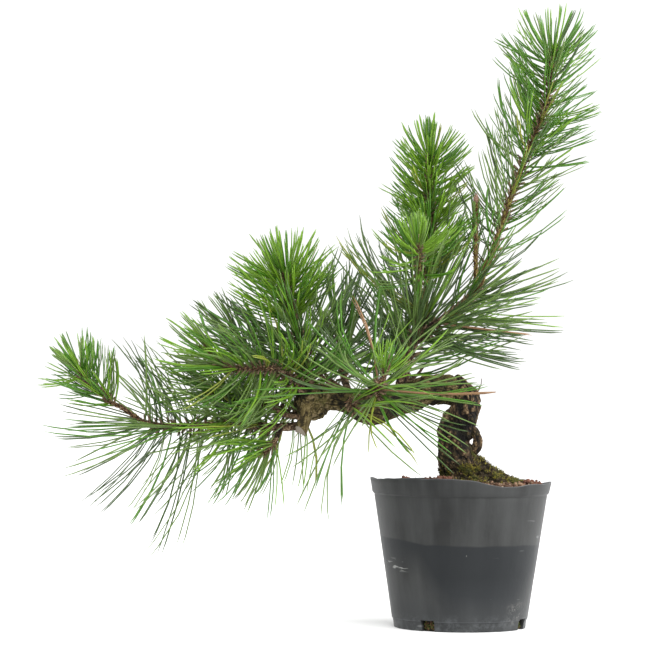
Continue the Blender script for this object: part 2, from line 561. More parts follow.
def put_mesh(name, shape, material, tones=None, sharp=None):
    """An object at the origin from a shape: vertices in millimetres, and arrays of faces with 3 or 4
    corners. Tones are numbers at the vertices for the material to read.
    """
    verts, faces = shape
    mesh = bpy.data.meshes.new(name)
    mesh.vertices.add(len(verts))
    mesh.vertices.foreach_set("co", (verts * MM).astype(np.float32).ravel())
    sizes = np.concatenate([np.full(len(block), block.shape[1]) for block in faces])
    corners = np.concatenate([block.ravel() for block in faces]).astype(np.int32)
    mesh.loops.add(len(corners))
    mesh.loops.foreach_set("vertex_index", corners)
    mesh.polygons.add(len(sizes))
    starts = np.concatenate([[0], np.cumsum(sizes)[:-1]]).astype(np.int32)
    mesh.polygons.foreach_set("loop_start", starts)
    mesh.polygons.foreach_set("use_smooth", np.ones(len(sizes), dtype=bool))
    mesh.update(calc_edges=True)
    if mesh.validate():
        raise RuntimeError(f"{name} has faces that Blender had to mend")
    if tones is not None:
        for key, values in tones.items():
            mesh.attributes.new(key, "FLOAT", "POINT").data.foreach_set("value", values.astype(np.float32))
    if sharp is not None:
        mesh.set_sharp_from_angle(angle=math.radians(sharp))
    mesh.materials.append(material)
    item = bpy.data.objects.new(name, mesh)
    bpy.context.scene.collection.objects.link(item)
    return item


def join_shapes(shapes):
    """One vertex array and one list of face arrays from several shapes."""
    verts = []
    blocks = {}
    base = 0
    for points, faces in shapes:
        verts.append(points)
        for block in faces:
            blocks.setdefault(block.shape[1], []).append(block + base)
        base += len(points)
    return np.vstack(verts), [np.vstack(group) for group in blocks.values()]


def slim_bodies(line, side, up, half_widths, flatness, corners):
    """Closed slim bodies: each ring is its middle + w (cos a side + flatness sin a up), a round it.

    line is (bodies, rings, 3), side and up are (bodies, 3) and half_widths (bodies, rings).
    """
    count, rings = line.shape[:2]
    angle = ring_turns(corners) + 0.5 * math.pi
    ring = turned(side[:, None], flatness * up[:, None], angle[None, :, None])
    verts = line[:, :, None] + half_widths[:, :, None, None] * ring[:, None]
    first = np.stack([np.zeros(corners - 2), np.arange(2, corners), np.arange(1, corners - 1)], axis=-1)
    last = first[:, ::-1] + (rings - 1) * corners
    offset = (np.arange(count) * rings * corners)[:, None, None]
    quads = (ring_quads(rings, corners)[None] + offset).reshape(-1, 4)
    caps = (np.vstack([first, last]).astype(np.int64)[None] + offset).reshape(-1, 3)
    return verts.reshape(-1, 3), [quads, caps]


class NodeMaker:
    """Short calls for a material's nodes on Object coordinates."""

    def __init__(self, name, roughness, specular=0.5):
        self.material = bpy.data.materials.new(name)
        self.material.use_nodes = True
        self.nodes = self.material.node_tree.nodes
        self.shader = self.nodes["Principled BSDF"]
        self.plug(self.shader.inputs["Roughness"], roughness)
        self.plug(self.shader.inputs["Specular IOR Level"], specular)
        self.place = self.add("TexCoord", "Object")

    def plug(self, socket, value):
        if isinstance(value, bpy.types.NodeSocket):
            self.material.node_tree.links.new(value, socket)
        elif isinstance(value, (tuple, list)) and len(value) == 3 and len(socket.default_value) == 4:
            socket.default_value = (*value, 1.0)
        else:
            socket.default_value = value

    def add(self, kind, output, inputs=None, **settings):
        """A new node with its settings made and its inputs plugged. Gives one of its outputs."""
        node = self.nodes.new(f"ShaderNode{kind}")
        for name, value in settings.items():
            setattr(node, name, value)
        for key, value in (inputs or {}).items():
            self.plug(node.inputs[key], value)
        return node.outputs[output]

    def stretched(self, scale):
        return self.add("Mapping", "Vector", {"Vector": self.place, "Scale": scale})

    def noise(self, scale, detail=3.0, vector=None, roughness=0.5):
        return self.add("TexNoise", "Fac", {"Vector": vector or self.place, "Scale": scale,
                                            "Detail": detail, "Roughness": roughness})

    def cells(self, scale):
        return self.add("TexVoronoi", "Distance", {"Vector": self.place, "Scale": scale})

    def attribute(self, name):
        return self.add("Attribute", "Fac", attribute_name=name)

    def axis(self, name):
        return self.add("SeparateXYZ", name, {0: self.place})

    def math(self, operation, *values):
        return self.add("Math", 0, dict(enumerate(values)), operation=operation)

    def times(self, first, second):
        return self.math("MULTIPLY", first, second)

    def spread(self, value, low, high, start=0.0, end=1.0):
        """A value carried from the range low to high to the range start to end, and held there."""
        return self.add("MapRange", 0, dict(enumerate((value, low, high, start, end))))

    def near(self, x, z, wide, high):
        """1 close to the place (x, z) of the front, falling to 0 at the distances wide and high from it."""
        shares = []
        for name, middle, reach in (("X", x, wide), ("Z", z, high)):
            gap = self.math("ABSOLUTE", self.math("SUBTRACT", self.axis(name), middle))
            shares.append(self.spread(gap, reach, 0.4 * reach))
        return self.times(self.times(*shares), self.spread(self.axis("Y"), 0.0, -0.02))

    def ramp(self, value, stops):
        node = self.nodes.new("ShaderNodeValToRGB")
        self.plug(node.inputs["Fac"], value)
        marks = node.color_ramp.elements
        while len(marks) < len(stops):
            marks.new(0.5)
        for mark, (spot, colour) in zip(marks, stops):
            mark.position = spot
            mark.color = (*colour, 1.0)
        return node.outputs["Color"]

    def mix(self, share, first, second):
        return self.add("Mix", 2, {"Factor": share, 6: first, 7: second}, data_type="RGBA")

    def coat(self, under, share, strength, colour):
        """A colour laid over another by a share of a strength."""
        return self.mix(self.times(share, strength), under, colour)

    def bump(self, height, distance, strength=1.0):
        normal = self.add("Bump", "Normal", {"Strength": strength, "Distance": distance, "Height": height})
        self.plug(self.shader.inputs["Normal"], normal)

    def colour(self, value):
        self.plug(self.shader.inputs["Base Color"], value)

    def roughness(self, value):
        self.plug(self.shader.inputs["Roughness"], value)


def pot_plastic(settings):
    """Slate plastic: soft streaks that run down, a cleaner darker band, chalk at the foot, fine scratches."""
    maker = NodeMaker("pot_plastic", 0.42, 0.14)
    dull, pale, palest = (tuple(share * part for part in settings.wall_colour) for share in (0.60, 1.45, 1.5))
    streaks = maker.noise(34.0, 5.0, maker.stretched((1.0, 1.0, 0.04)), 0.6)
    clouds = maker.noise(26.0, 5.0)
    colour = maker.mix(maker.spread(streaks, 0.36, 0.64), dull, pale)
    colour = maker.mix(maker.spread(clouds, 0.4, 0.7, 0.0, 0.5), colour, palest)
    # The band has a wavy top edge that rises to the left, and a soft lower edge that hangs in the middle
    height = maker.math("MULTIPLY_ADD", maker.noise(14.0, 3.0), 0.006, maker.axis("Z"))
    rise = maker.times(maker.spread(maker.axis("X"), -0.030, -0.066), -0.006)
    top = maker.spread(maker.math("ADD", height, rise), 0.0742, 0.0728)
    side = maker.spread(maker.math("ABSOLUTE", maker.math("SUBTRACT", maker.axis("X"), 0.016)), 0.052, 0.026)
    cloudy = maker.math("MULTIPLY_ADD", clouds, 0.012, maker.axis("Z"))
    low = maker.spread(maker.math("MULTIPLY_ADD", side, 0.038, cloudy), 0.050, 0.074)
    band = maker.times(maker.times(top, low), 0.9)
    colour = maker.coat(colour, band, 0.92, tuple(settings.band_colour))
    # Dust at the foot, a chalky patch at the right, scuffs at the left and a paler lower wall
    dust = maker.spread(maker.noise(150.0, 6.0, roughness=0.75), 0.46, 0.66)
    haze = maker.times(maker.spread(maker.axis("Z"), 0.015, 0.003), dust)
    colour = maker.coat(colour, haze, 0.65, (0.125, 0.133, 0.138))
    chalk = maker.times(maker.near(0.045, 0.014, 0.009, 0.011), maker.spread(dust, 0.2, 0.9))
    colour = maker.coat(colour, chalk, 0.7, (0.20, 0.19, 0.175))
    scuff = maker.spread(maker.noise(230.0, 3.0, maker.stretched((0.3, 0.3, 1.5))), 0.56, 0.63)
    scuff = maker.times(scuff, maker.near(-0.052, 0.0535, 0.011, 0.006))
    colour = maker.coat(colour, scuff, 0.8, (0.24, 0.245, 0.235))
    colour = maker.coat(colour, maker.spread(maker.axis("Z"), 0.045, 0.012), 0.35, (0.042, 0.045, 0.048))
    foot_line = maker.math("COMPARE", maker.axis("Z"), 0.0082, 0.0004)
    colour = maker.coat(colour, foot_line, 0.12, (0.16, 0.17, 0.18))
    # Pale specks in patches, a few scratches, and the worn rim
    specks = maker.spread(maker.cells(70.0), 0.045, 0.028)
    patches = maker.spread(maker.noise(24.0, 1.0), 0.55, 0.62)
    colour = maker.coat(colour, specks, patches, (0.34, 0.34, 0.32))
    scratch = maker.noise(150.0, 2.0, maker.stretched((0.25, 0.25, 1.6)))
    few = maker.spread(maker.noise(12.0, 0.0), 0.5, 0.6)
    scratch = maker.times(maker.spread(scratch, 0.70, 0.74), few)
    colour = maker.coat(colour, scratch, 0.45, (0.20, 0.205, 0.205))
    rim = maker.spread(maker.attribute("edge"), 0.2, 0.9)
    colour = maker.coat(colour, rim, 0.5, (0.12, 0.125, 0.13))
    maker.colour(maker.mix(maker.attribute("drain"), colour, (0.010, 0.009, 0.006)))
    maker.roughness(maker.spread(streaks, 0.3, 0.7, 0.34, 0.52))
    maker.bump(maker.noise(120.0, 5.0), 0.0005, 0.35)
    return maker.material


def bark(name):
    """Bark: the relief's height gives the colour from crack to ridge, with lichen in patches."""
    stops, lichen, grain = BARKS[name]
    maker = NodeMaker(name, 0.9, 0.25)
    height = maker.attribute("relief")
    speckle = maker.noise(grain, 5.0)
    blend = maker.math("MULTIPLY_ADD", maker.math("SUBTRACT", speckle, 0.5), 0.85, height)
    patches = maker.spread(maker.noise(95.0, 4.0), 0.52, 0.68)
    share = maker.times(patches, maker.spread(height, 0.3, 0.8, 0.1, lichen))
    colour = maker.mix(share, maker.ramp(blend, stops), LICHEN)
    maker.colour(maker.mix(maker.attribute("cut"), colour, maker.mix(speckle, *CUT_WOOD)))
    maker.bump(speckle, 0.0010, 0.9)
    return maker.material


def plain_variety(name, colour, change, scale, roughness, specular=0.4):
    """A natural surface whose colour wanders between two near shades."""
    maker = NodeMaker(name, roughness, specular)
    wander = maker.spread(maker.noise(scale, 2.0), 0.3, 0.7)
    dark = tuple(part * (1.0 - change) for part in colour)
    light = tuple(min(1.0, part * (1.0 + change)) for part in colour)
    maker.colour(maker.mix(wander, dark, light))
    maker.bump(maker.noise(scale * 4.0, 2.0), 0.0002, 0.5)
    return maker.material


def soil_crumb():
    """Dark damp soil with reddish grains and pale grit."""
    maker = NodeMaker("soil_crumb", 0.95, 0.2)
    grains = maker.cells(420.0)
    colour = maker.ramp(maker.noise(160.0, 5.0, roughness=0.7),
                        [(0.3, (0.018, 0.010, 0.006)), (0.5, (0.075, 0.040, 0.024)),
                         (0.68, (0.17, 0.095, 0.058)), (0.85, (0.30, 0.22, 0.15))])
    maker.colour(maker.mix(maker.spread(grains, 0.0, 0.5, 0.5, 0.0), colour, (0.02, 0.012, 0.008)))
    maker.bump(maker.noise(500.0, 4.0), 0.0008, 0.8)
    return maker.material


def pot_outer(height):
    return FOOT_RADIUS + (RIM_RADIUS - LIP_PROUD - FOOT_RADIUS) / POT_HEIGHT * height


def pot_profile():
    """(radius, height, edge) down the pot: underside, foot, wall, lip, rounded rim, inside, floor."""
    foot = FOOT_TOP - FOOT_SET_IN
    inner = pot_outer(0.0) - FOOT_SET_IN
    outline = [(MIDDLE_RING, 0.6, 0), (FOOT_RADIUS - 8.0, 0.6, 0), (FOOT_RADIUS - 6.5, 0.0, 0),
               (inner - 0.8, 0.0, 0), (inner - 0.2, 0.25, 0.2), (inner, 0.9, 0)]
    outline += [(inner + 0.12 * (height - 1.0), height, 0) for height in (3.0, 5.0)]
    outline += [(pot_outer(foot) - FOOT_SET_IN, foot, 0), (pot_outer(FOOT_TOP) - 0.15, FOOT_TOP - 0.2, 0.1),
                (pot_outer(FOOT_TOP), FOOT_TOP + 0.2, 0), (pot_outer(NOTCH_HEIGHT), NOTCH_HEIGHT, 0),
                (pot_outer(NOTCH_HEIGHT + 0.03), NOTCH_HEIGHT + 0.03, 0)]
    outline += [(pot_outer(height), height, 0) for height in np.linspace(12.0, LIP_BOTTOM - 1.2, 22)]
    outline += [(pot_outer(LIP_BOTTOM) - 0.25, LIP_BOTTOM - 0.5, 0), (pot_outer(LIP_BOTTOM), LIP_BOTTOM, 0),
                (pot_outer(LIP_BOTTOM) + 0.8, LIP_BOTTOM + 0.5, 0.2)]
    outline += [(pot_outer(height) + LIP_PROUD, height, 0) for height in (LIP_BOTTOM + 1.5, 116.0, 120.0)]
    outline += [(RIM_RADIUS, POT_HEIGHT - 0.5, 0.3), (RIM_RADIUS - 0.15, POT_HEIGHT - 0.1, 1.0),
                (RIM_RADIUS - 0.6, POT_HEIGHT, 1.0), (RIM_RADIUS - 1.5, POT_HEIGHT - 0.1, 1.0),
                (RIM_RADIUS - 1.8, POT_HEIGHT - 0.6, 0.3)]
    inside = (116.0, LIP_BOTTOM, 60.0, 13.0, 11.0, POT_FLOOR + 1.0)
    outline += [(pot_outer(height) - WALL, height, 0) for height in inside]
    outline += [(pot_outer(POT_FLOOR) - WALL - 1.0, POT_FLOOR, 0), (MIDDLE_RING, POT_FLOOR, 0)]
    return np.array(outline, dtype=float)


def rim_wave(turn, x):
    """How far the hand-cut rim rises or dips round the pot: a fall to the right, low waves, a dip at the
    front and a lower far side.
    """
    wave = -RIGHT_FALL * np.maximum(x, 0.0) + 0.7 * np.sin(3.0 * turn + 0.6) + 0.4 * np.sin(7.0 * turn)
    wave += 0.16 * np.sin(17.0 * turn + 1.0) + 0.10 * np.sin(29.0 * turn)
    wave += 1.6 * np.exp(-((turn + 2.1) / 0.45) ** 2)
    far = 0.5 + 0.5 * np.tanh((np.sin(turn) - 0.25) / 0.2)
    return wave - 2.6 * np.exp(-((turn + 1.1) / 0.28) ** 2) - 4.2 * far


def pot_columns():
    """Turns round the pot, with close pairs of columns at the sides of each notch."""
    turns = list(ring_turns(POT_COLUMNS) - math.pi)
    for middle in NOTCH_TURNS:
        for side in (-NOTCH_HALF_TURN, NOTCH_HALF_TURN):
            for step in (-0.0006, 0.0006):
                turn = math.radians(middle) + side + step
                turns.append((turn + math.pi) % FULL_TURN - math.pi)
    return np.array(sorted(turns))


def build_pot(settings):
    """Pot: the profile (r, z) turned as (r cos t, r sin t, z), its rim moved by a wave, its foot cut back
    by the notch depth where a turn lies within a notch.
    """
    profile = pot_profile()
    turn = pot_columns()
    radius, height = (np.repeat(profile[:, column, None], len(turn), axis=1) for column in (0, 1))
    middles = np.radians(np.array(NOTCH_TURNS))
    off = np.abs((turn[:, None] - middles + math.pi) % FULL_TURN - math.pi).min(axis=1)
    outside = np.arange(len(profile))[:, None] < np.argmax(profile[:, 1])
    low = (off[None, :] < NOTCH_HALF_TURN) & (radius > FOOT_RADIUS - 9.0)
    cut = outside & low & (height < NOTCH_HEIGHT + 0.01)
    radius = np.where(cut, np.minimum(radius, NOTCH_BACK), radius)
    behind = ~outside & low & (height < NOTCH_HEIGHT + 2.5)
    radius = np.where(behind, np.minimum(radius, NOTCH_BACK - WALL), radius)
    out_of_round = 0.35 * np.sin(2.0 * turn + 0.4) * height / POT_HEIGHT
    rings = around(radius + out_of_round, turn, height)
    share = np.clip((height - RIM_WAVE_FROM) / (POT_HEIGHT - RIM_WAVE_FROM), 0.0, 1.0)
    rings[..., 2] += share * rim_wave(turn, rings[..., 0])
    poles = (0.0, 0.0)
    tones = {"edge": np.append(np.repeat(profile[:, 2], len(turn)), poles),
             "drain": np.append(cut.astype(float), poles)}
    pot = put_mesh("pot_shell", closed_rings(rings), pot_plastic(settings), tones, 38.0)
    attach(pot, "root")
    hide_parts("pot")
    build_drain_crumbs()


def build_drain_crumbs():
    """Soil grains and moss that show in the four drain notches."""
    rng = np.random.default_rng(SEED + 30)
    places = []
    for middle in NOTCH_TURNS:
        turn = math.radians(middle) + rng.uniform(-0.095, 0.095, DRAIN_GRAINS)
        reach = FOOT_RADIUS - NOTCH_DEPTH + rng.uniform(-0.9, 0.9, DRAIN_GRAINS)
        places.append(around(reach, turn, rng.uniform(1.3, NOTCH_HEIGHT - 0.7, DRAIN_GRAINS)))
    places = np.vstack(places)
    for index, (name, colour, slot) in enumerate(DRAIN_SHADES):
        chosen = places[index::2]
        crumbs = grain_bodies(chosen, rng.uniform(0.5, 1.1, len(chosen)), rng)
        crumbs = put_mesh(name, crumbs, plain_variety(name, colour, 0.5, 400.0, 0.95, 0.2), sharp=30.0)
        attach(crumbs, "root")


def soil_height(x, y):
    """The soil's top: flat with low humps, a fine crumb, and a fall to the pot's wall."""
    points = np.stack([x, y, np.zeros_like(x)], axis=-1)
    reach = np.hypot(x, y)
    humps = 3.2 * (layered_noise(points / 17.0, 3, 5) - 0.5) + 1.6 * (layered_noise(points / 3.4, 3, 9) - 0.5)
    fall = RIGHT_FALL * np.maximum(x, 0.0) + 3.4 * np.clip((y + 4.0) / 60.0, 0.0, 1.0)
    fall += 1.4 * np.clip(-x / 60.0, 0.0, 1.0)
    return SOIL_TOP + humps - fall - 3.6 * np.clip((reach - 60.0) / 11.0, 0.0, 1.0) ** 2


def build_soil():
    """Soil: rings out from the middle, (r cos t, r sin t, humps), then down the wall and back under."""
    turn = ring_turns(SOIL_COLUMNS)
    top = around(np.linspace(1.5, SOIL_RADIUS, 74)[:, None], turn, 0.0)
    top[..., 2] = soil_height(top[..., 0], top[..., 1])
    below = [(pot_outer(height) - WALL - gap, height) for height, gap in SOIL_WALL_GAPS]
    walls = [around(radius, turn, height) for radius, height in below + list(SOIL_UNDERSIDE)]
    rings = np.concatenate([np.stack(walls)[::-1], top[::-1]])
    bed = put_mesh("soil_bed", closed_rings(rings), soil_crumb())
    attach(bed, "root")
    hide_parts("soil")


def grain_bodies(places, sizes, rng):
    """Small faceted grains: two poles and two rings of five corners, each turned and stretched."""
    count = len(places)
    turn = ring_turns(5)
    shape = np.vstack([(0.0, 0.0, -1.0), around(0.85, turn, -0.45), around(0.9, turn + 0.6, 0.4),
                       (0.0, 0.0, 1.0)])
    ring = np.arange(5)
    after = (ring + 1) % 5
    tris = np.vstack([np.stack([np.zeros(5, int), 1 + after, 1 + ring], axis=-1),
                      np.stack([1 + ring, 1 + after, 6 + ring], axis=-1),
                      np.stack([1 + after, 6 + after, 6 + ring], axis=-1),
                      np.stack([np.full(5, 11), 6 + ring, 6 + after], axis=-1)])
    turns = unit(rng.normal(size=(count, 3)))
    across, up = sides_of(turns)
    basis = np.stack([across, up, turns], axis=1)
    uneven = shape[None] * (1.0 + 0.28 * rng.normal(size=(count, len(shape), 1)).clip(-1.2, 1.2))
    verts = np.einsum("nvk,nkj->nvj", uneven * rng.uniform(0.65, 1.0, (count, 1, 3)), basis)
    verts = verts * sizes[:, None, None] + places[:, None]
    offset = (np.arange(count) * len(shape))[:, None, None]
    return verts.reshape(-1, 3), [(tris[None] + offset).reshape(-1, 3)]


def build_grains():
    """Loose grains on the soil, three shades of them, each kind spread evenly over the bed."""
    for index, (name, colour, count, size) in enumerate(GRAINS):
        rng = np.random.default_rng(SEED + 40 + index)
        reach = GRAIN_REACH * np.sqrt(rng.uniform(0.0, 1.0, count))
        places = around(reach, rng.uniform(-math.pi, math.pi, count), 0.0)
        sizes = size * rng.uniform(0.55, 1.5, count)
        places[:, 2] = soil_height(places[:, 0], places[:, 1]) + 0.35 * sizes
        material = plain_variety(name, colour, 0.35, 300.0, 0.95, 0.2)
        grains = put_mesh(name, grain_bodies(places, sizes, rng), material, sharp=30.0)
        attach(grains, "root")


def build_clods():
    """Reddish clods in heaps, most of them at the left front, and chips of bark at the right front."""
    rng = np.random.default_rng(SEED + 48)
    places = np.repeat(np.array(CLOD_HEAPS), CLODS_IN_A_HEAP, axis=0)
    places = places + rng.normal(0.0, 1.0, places.shape) * (2.6, 2.6, 0.8)
    clods = grain_bodies(places, rng.uniform(1.2, 2.6, len(places)), rng)
    reddish = plain_variety("soil_clods", (0.10, 0.042, 0.026), 0.5, 260.0, 0.95)
    clods = put_mesh("soil_clods", clods, reddish)
    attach(clods, "root")
    x = rng.uniform(16.0, 62.0, CHIPS)
    y = rng.uniform(-44.0, -4.0, CHIPS)
    sizes = rng.uniform(1.1, 2.7, CHIPS)
    within = np.hypot(x, y) < CHIP_REACH
    places = np.stack([x, y, soil_height(x, y) + 0.5 * sizes], axis=-1)[within]
    wood = plain_variety("bark_chips", (0.20, 0.125, 0.080), 0.6, 180.0, 0.9, 0.2)
    chips = put_mesh("bark_chips", grain_bodies(places, sizes[within], rng), wood, sharp=30.0)
    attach(chips, "root")


def moss_surface(share, turn):
    """A point of the moss mound: radius and height run down its profile, its middle leans to the trunk
    as it rises, and clumps of noise make it lumpy.
    """
    profile = smooth_route([(reach, 0.0, height) for reach, height in MOSS_PROFILE], 60)
    place = share * (len(profile) - 1)
    reach = np.interp(place, np.arange(len(profile)), profile[:, 0])
    height = np.interp(place, np.arange(len(profile)), profile[:, 2])
    x = MOSS_FOOT_X - MOSS_LEAN * height / MOSS_HEIGHT + reach * np.cos(turn)
    y = reach * np.sin(turn)
    points = np.stack([x, y, height], axis=-1)
    clumps = np.minimum(crack_gap(points / 7.5, 23), 0.5) + 0.9 * (layered_noise(points / 3.2, 2, 21) - 0.5)
    z = SOIL_TOP + height + 3.4 * (clumps - 0.35) * np.clip(reach / 5.0, 0.0, 1.0)
    return np.stack([x, y, z - RIGHT_FALL * np.maximum(x, 0.0) - 0.8], axis=-1)


def build_moss():
    """Moss: the lumpy mound, and short leaves that stand on it and climb the trunk's foot in three shades."""
    share, turn = np.meshgrid(np.linspace(0.0, 1.0, 90), ring_turns(150), indexing="ij")
    rings = moss_surface(share, turn)
    mound = closed_rings(np.concatenate([rings, rings[-1:] - (0.0, 0.0, 3.0)])[::-1])
    bed = plain_variety("moss_bed", (0.009, 0.007, 0.003), 0.7, 300.0, 1.0, 0.1)
    mound = put_mesh("moss_mound", mound, bed)
    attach(mound, "root")
    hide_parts("moss")
    rng = np.random.default_rng(SEED + 60)
    share = np.sqrt(rng.uniform(0.0, 1.0, MOSS_LEAVES))
    root = moss_surface(share, rng.uniform(-math.pi, math.pi, MOSS_LEAVES))
    trunk = bark_surface(LIMBS[0])[0].reshape(-1, 3)
    climb = SOIL_TOP + 13.0 + 0.35 * trunk[:, 0] + 26.0 * (layered_noise(trunk / 9.0, 2, 83) - 0.5)
    trunk = trunk[(trunk[:, 2] > SOIL_TOP - 2.0) & (trunk[:, 2] < climb)]
    root = np.vstack([root, trunk[rng.integers(0, len(trunk), TRUNK_MOSS_LEAVES)]])
    count = len(root)
    tilt = layered_noise(root / 5.5, 2, 31) + rng.normal(0.0, 0.05, count)
    bare = layered_noise(root / 4.2, 2, 57)
    away = unit(root - np.array([4.0, 0.0, SOIL_TOP - 6.0]))
    direction = unit(away + 0.7 * rng.normal(size=(count, 3)) + np.array([0.0, 0.0, 0.5]))
    length = rng.uniform(1.3, 3.4, count) * (0.6 + 0.9 * (1.0 - bare))
    for name, colour, low, high in MOSS_SHADES:
        keep = (bare < MOSS_BARE) & (tilt >= low) & (tilt < high)
        leaves = leaf_bodies(root[keep] - 0.4 * direction[keep], direction[keep], length[keep], rng)
        leaves = put_mesh(name, leaves, plain_variety(name, colour, 0.5, 420.0, 0.8))
        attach(leaves, "root")


def leaf_bodies(root, direction, length, rng):
    """Moss leaves: root + direction L t + 0.18 L up t squared, widest near the root."""
    share = np.linspace(0.0, 1.0, 3)
    side, up = spun_sides(direction, rng)
    line = root[:, None] + reach_out(direction, length, share) + reach_out(up, 0.18 * length, share ** 2)
    widths = 0.4 * np.interp(share, (0.0, 0.3, 1.0), (0.7, 1.0, 0.12))
    return slim_bodies(line, side, up, np.repeat(widths[None], len(root), axis=0), 0.5, 3)


def bark_surface(limb):
    """A limb: rings on its route whose radius is moved by lumps, by furrows that run along it where a
    stretched noise crosses its middle, by flakes and by a fine grain. Returns the rings and the height
    of the relief from 0 to 1.
    """
    points = smooth_route(limb.route, limb.rings)
    middle, radius = points[:, :3], points[:, 3]
    _, ring = swept_rings(middle, radius, limb.sides)
    along = np.concatenate([[0.0], np.cumsum(np.linalg.norm(np.diff(middle, axis=0), axis=1))])
    turn = ring_turns(limb.sides)
    twist = turn[None, :] + 0.010 * along[:, None]
    seed = SEED + 7 * (LIMBS + KNOTS).index(limb)
    wrap = around(radius[:, None], twist, along[:, None])
    cell = np.array(limb.plate)
    bend = np.stack([layered_noise(wrap / (1.8 * cell), 2, seed + axis) for axis in range(3)], axis=-1) - 0.5
    bent = wrap / cell + 1.8 * bend
    furrow = np.zeros(turn.shape)
    for size, narrow, deep, number in FURROWS:
        level = layered_noise(bent / size, 2, seed + number)
        furrow = np.maximum(furrow, deep * np.exp(-((level - 0.5) / narrow) ** 2))
    flakes = np.minimum(crack_gap(bent * (1.6, 1.6, 2.4), seed + 19) / 0.5, 1.0)
    grain = layered_noise(wrap / (0.22 * cell), 3, seed + 23)
    gnarl = layered_noise(wrap / (3.0 * cell * (1.0, 1.0, 0.8)), 3, seed + 29)
    height = FURROW_SHARE * (1.0 - furrow) + FLAKE_SHARE * flakes + GRAIN_SHARE * grain
    swell = limb.depth * (height - 0.62) + 2.6 * limb.depth * (gnarl - 0.5)
    shade = layered_noise(wrap / (1.1 * cell * (1.0, 1.0, 0.6)), 3, seed + 31)
    tone = np.clip((height - 0.25) / 0.62 + 1.1 * (gnarl - 0.52) + 0.85 * (shade - 0.53), 0.0, 1.0)
    for spot, facing, span, spread, push in limb.bumps:
        near = np.exp(-((along - spot) / span) ** 2)[:, None]
        aim = ring @ unit(np.array(facing, dtype=float))
        swell = swell + push * near * np.exp(-(np.arccos(np.clip(aim, -1.0, 1.0)) / spread) ** 2)
    rings = middle[:, None] + (radius[:, None] + swell)[..., None] * ring
    return rings, tone


def add_stems(name, shapes, tones, material):
    """Stems joined into one piece, with the height of their relief and no cut."""
    shape = join_shapes(shapes)
    looks = {"relief": np.concatenate(tones), "cut": np.zeros(len(shape[0]))}
    stems = put_mesh(name, shape, material, looks)
    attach(stems, "root")


def build_limbs():
    """Trunk, arm, stub and boughs, each a bark surface in place of its node, and the knot on the trunk."""
    materials = {kind: bark(kind) for kind in ("trunk_bark", "arm_bark", "bough_bark", "stub_bark")}
    for limb in LIMBS + KNOTS:
        rings, tone = bark_surface(limb)
        verts, faces = closed_rings(rings)
        cut = np.zeros(len(verts))
        if limb.node == "trunk_stub":
            facing = unit(np.array(STUB_CUT_FACING))
            over = np.maximum((verts - np.array(STUB_CUT_PLACE)) @ facing, 0.0)
            verts = verts - over[:, None] * facing
            cut = np.clip(over / 0.5, 0.0, 1.0)
        relief = np.append(tone, (tone[0].mean(), tone[-1].mean()))
        material = materials[BARK_KINDS.get(limb.node, "bough_bark")]
        item = put_mesh(f"{limb.node}_bark", (verts, faces), material, {"relief": relief, "cut": cut})
        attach(item, "root")
        if limb in LIMBS:
            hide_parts(limb.node)
    build_twigs(materials["bough_bark"])


def build_twigs(material):
    """Fine twigs: round rings of 14 corners on their routes, roughened by noise."""
    shapes = []
    tones = []
    for index, route in enumerate(TWIGS):
        points = smooth_route(route, 60)
        rings, ring = swept_rings(points[:, :3], points[:, 3], 14)
        height = layered_noise(rings / (1.3, 1.3, 2.0), 2, 400 + index)
        rings = rings + (0.45 * points[:, 3, None] * (height - 0.5))[..., None] * ring
        shapes.append(closed_rings(rings))
        tones.append(np.append(height, (0.5, 0.5)))
    add_stems("fine_twigs", shapes, tones, material)


def build_shoots():
    """Stems of the needle masses, ridged by the feet of old needles, with brown scales in a spiral."""
    stems = {True: [], False: []}
    tones = {True: [], False: []}
    scales = []
    rng = np.random.default_rng(SEED + 80)
    for index, shoot in enumerate(SHOOTS):
        path = smooth_route(shoot.route, 90)
        length = np.linalg.norm(np.diff(path, axis=0), axis=1).sum()
        radii = np.linspace(*shoot.radii, len(path))
        radii[-4:] *= (0.95, 0.85, 0.65, 0.3)
        _, ring = swept_rings(path, radii, STEM_SIDES)
        along = np.linspace(0.0, length, len(path))[:, None]
        wrap = around(radii[:, None], ring_turns(STEM_SIDES), along)
        height = np.minimum(crack_gap(wrap / (1.5, 1.5, 2.6), 300 + index) / 0.5, 1.0)
        rings = path[:, None] + (radii[:, None] + 0.55 * (height - 0.6))[..., None] * ring
        stems[shoot.young].append(closed_rings(rings))
        tones[shoot.young].append(np.append(height, (0.5, 0.5)))
        order = np.arange(int(length / SCALE_STEP))
        root, axis, radius = on_path(path, radii, (order + 0.5) / len(order))
        radial = turned(*sides_of(axis), (order * GOLDEN_TURN)[:, None])
        direction = unit(0.75 * axis + radial * rng.uniform(0.25, 0.9, (len(order), 1)))
        scales.append(scale_bodies(root + radial * (radius * 0.85), direction, radial, rng))
    for young, name in ((True, "young_stem"), (False, "old_stem")):
        add_stems(f"{name}s", stems[young], tones[young], bark(name))
    brown = plain_variety("scale_brown", (0.165, 0.084, 0.042), 0.65, 700.0, 0.75)
    item = put_mesh("stem_scales", join_shapes(scales), brown)
    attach(item, "root")
    build_buds()


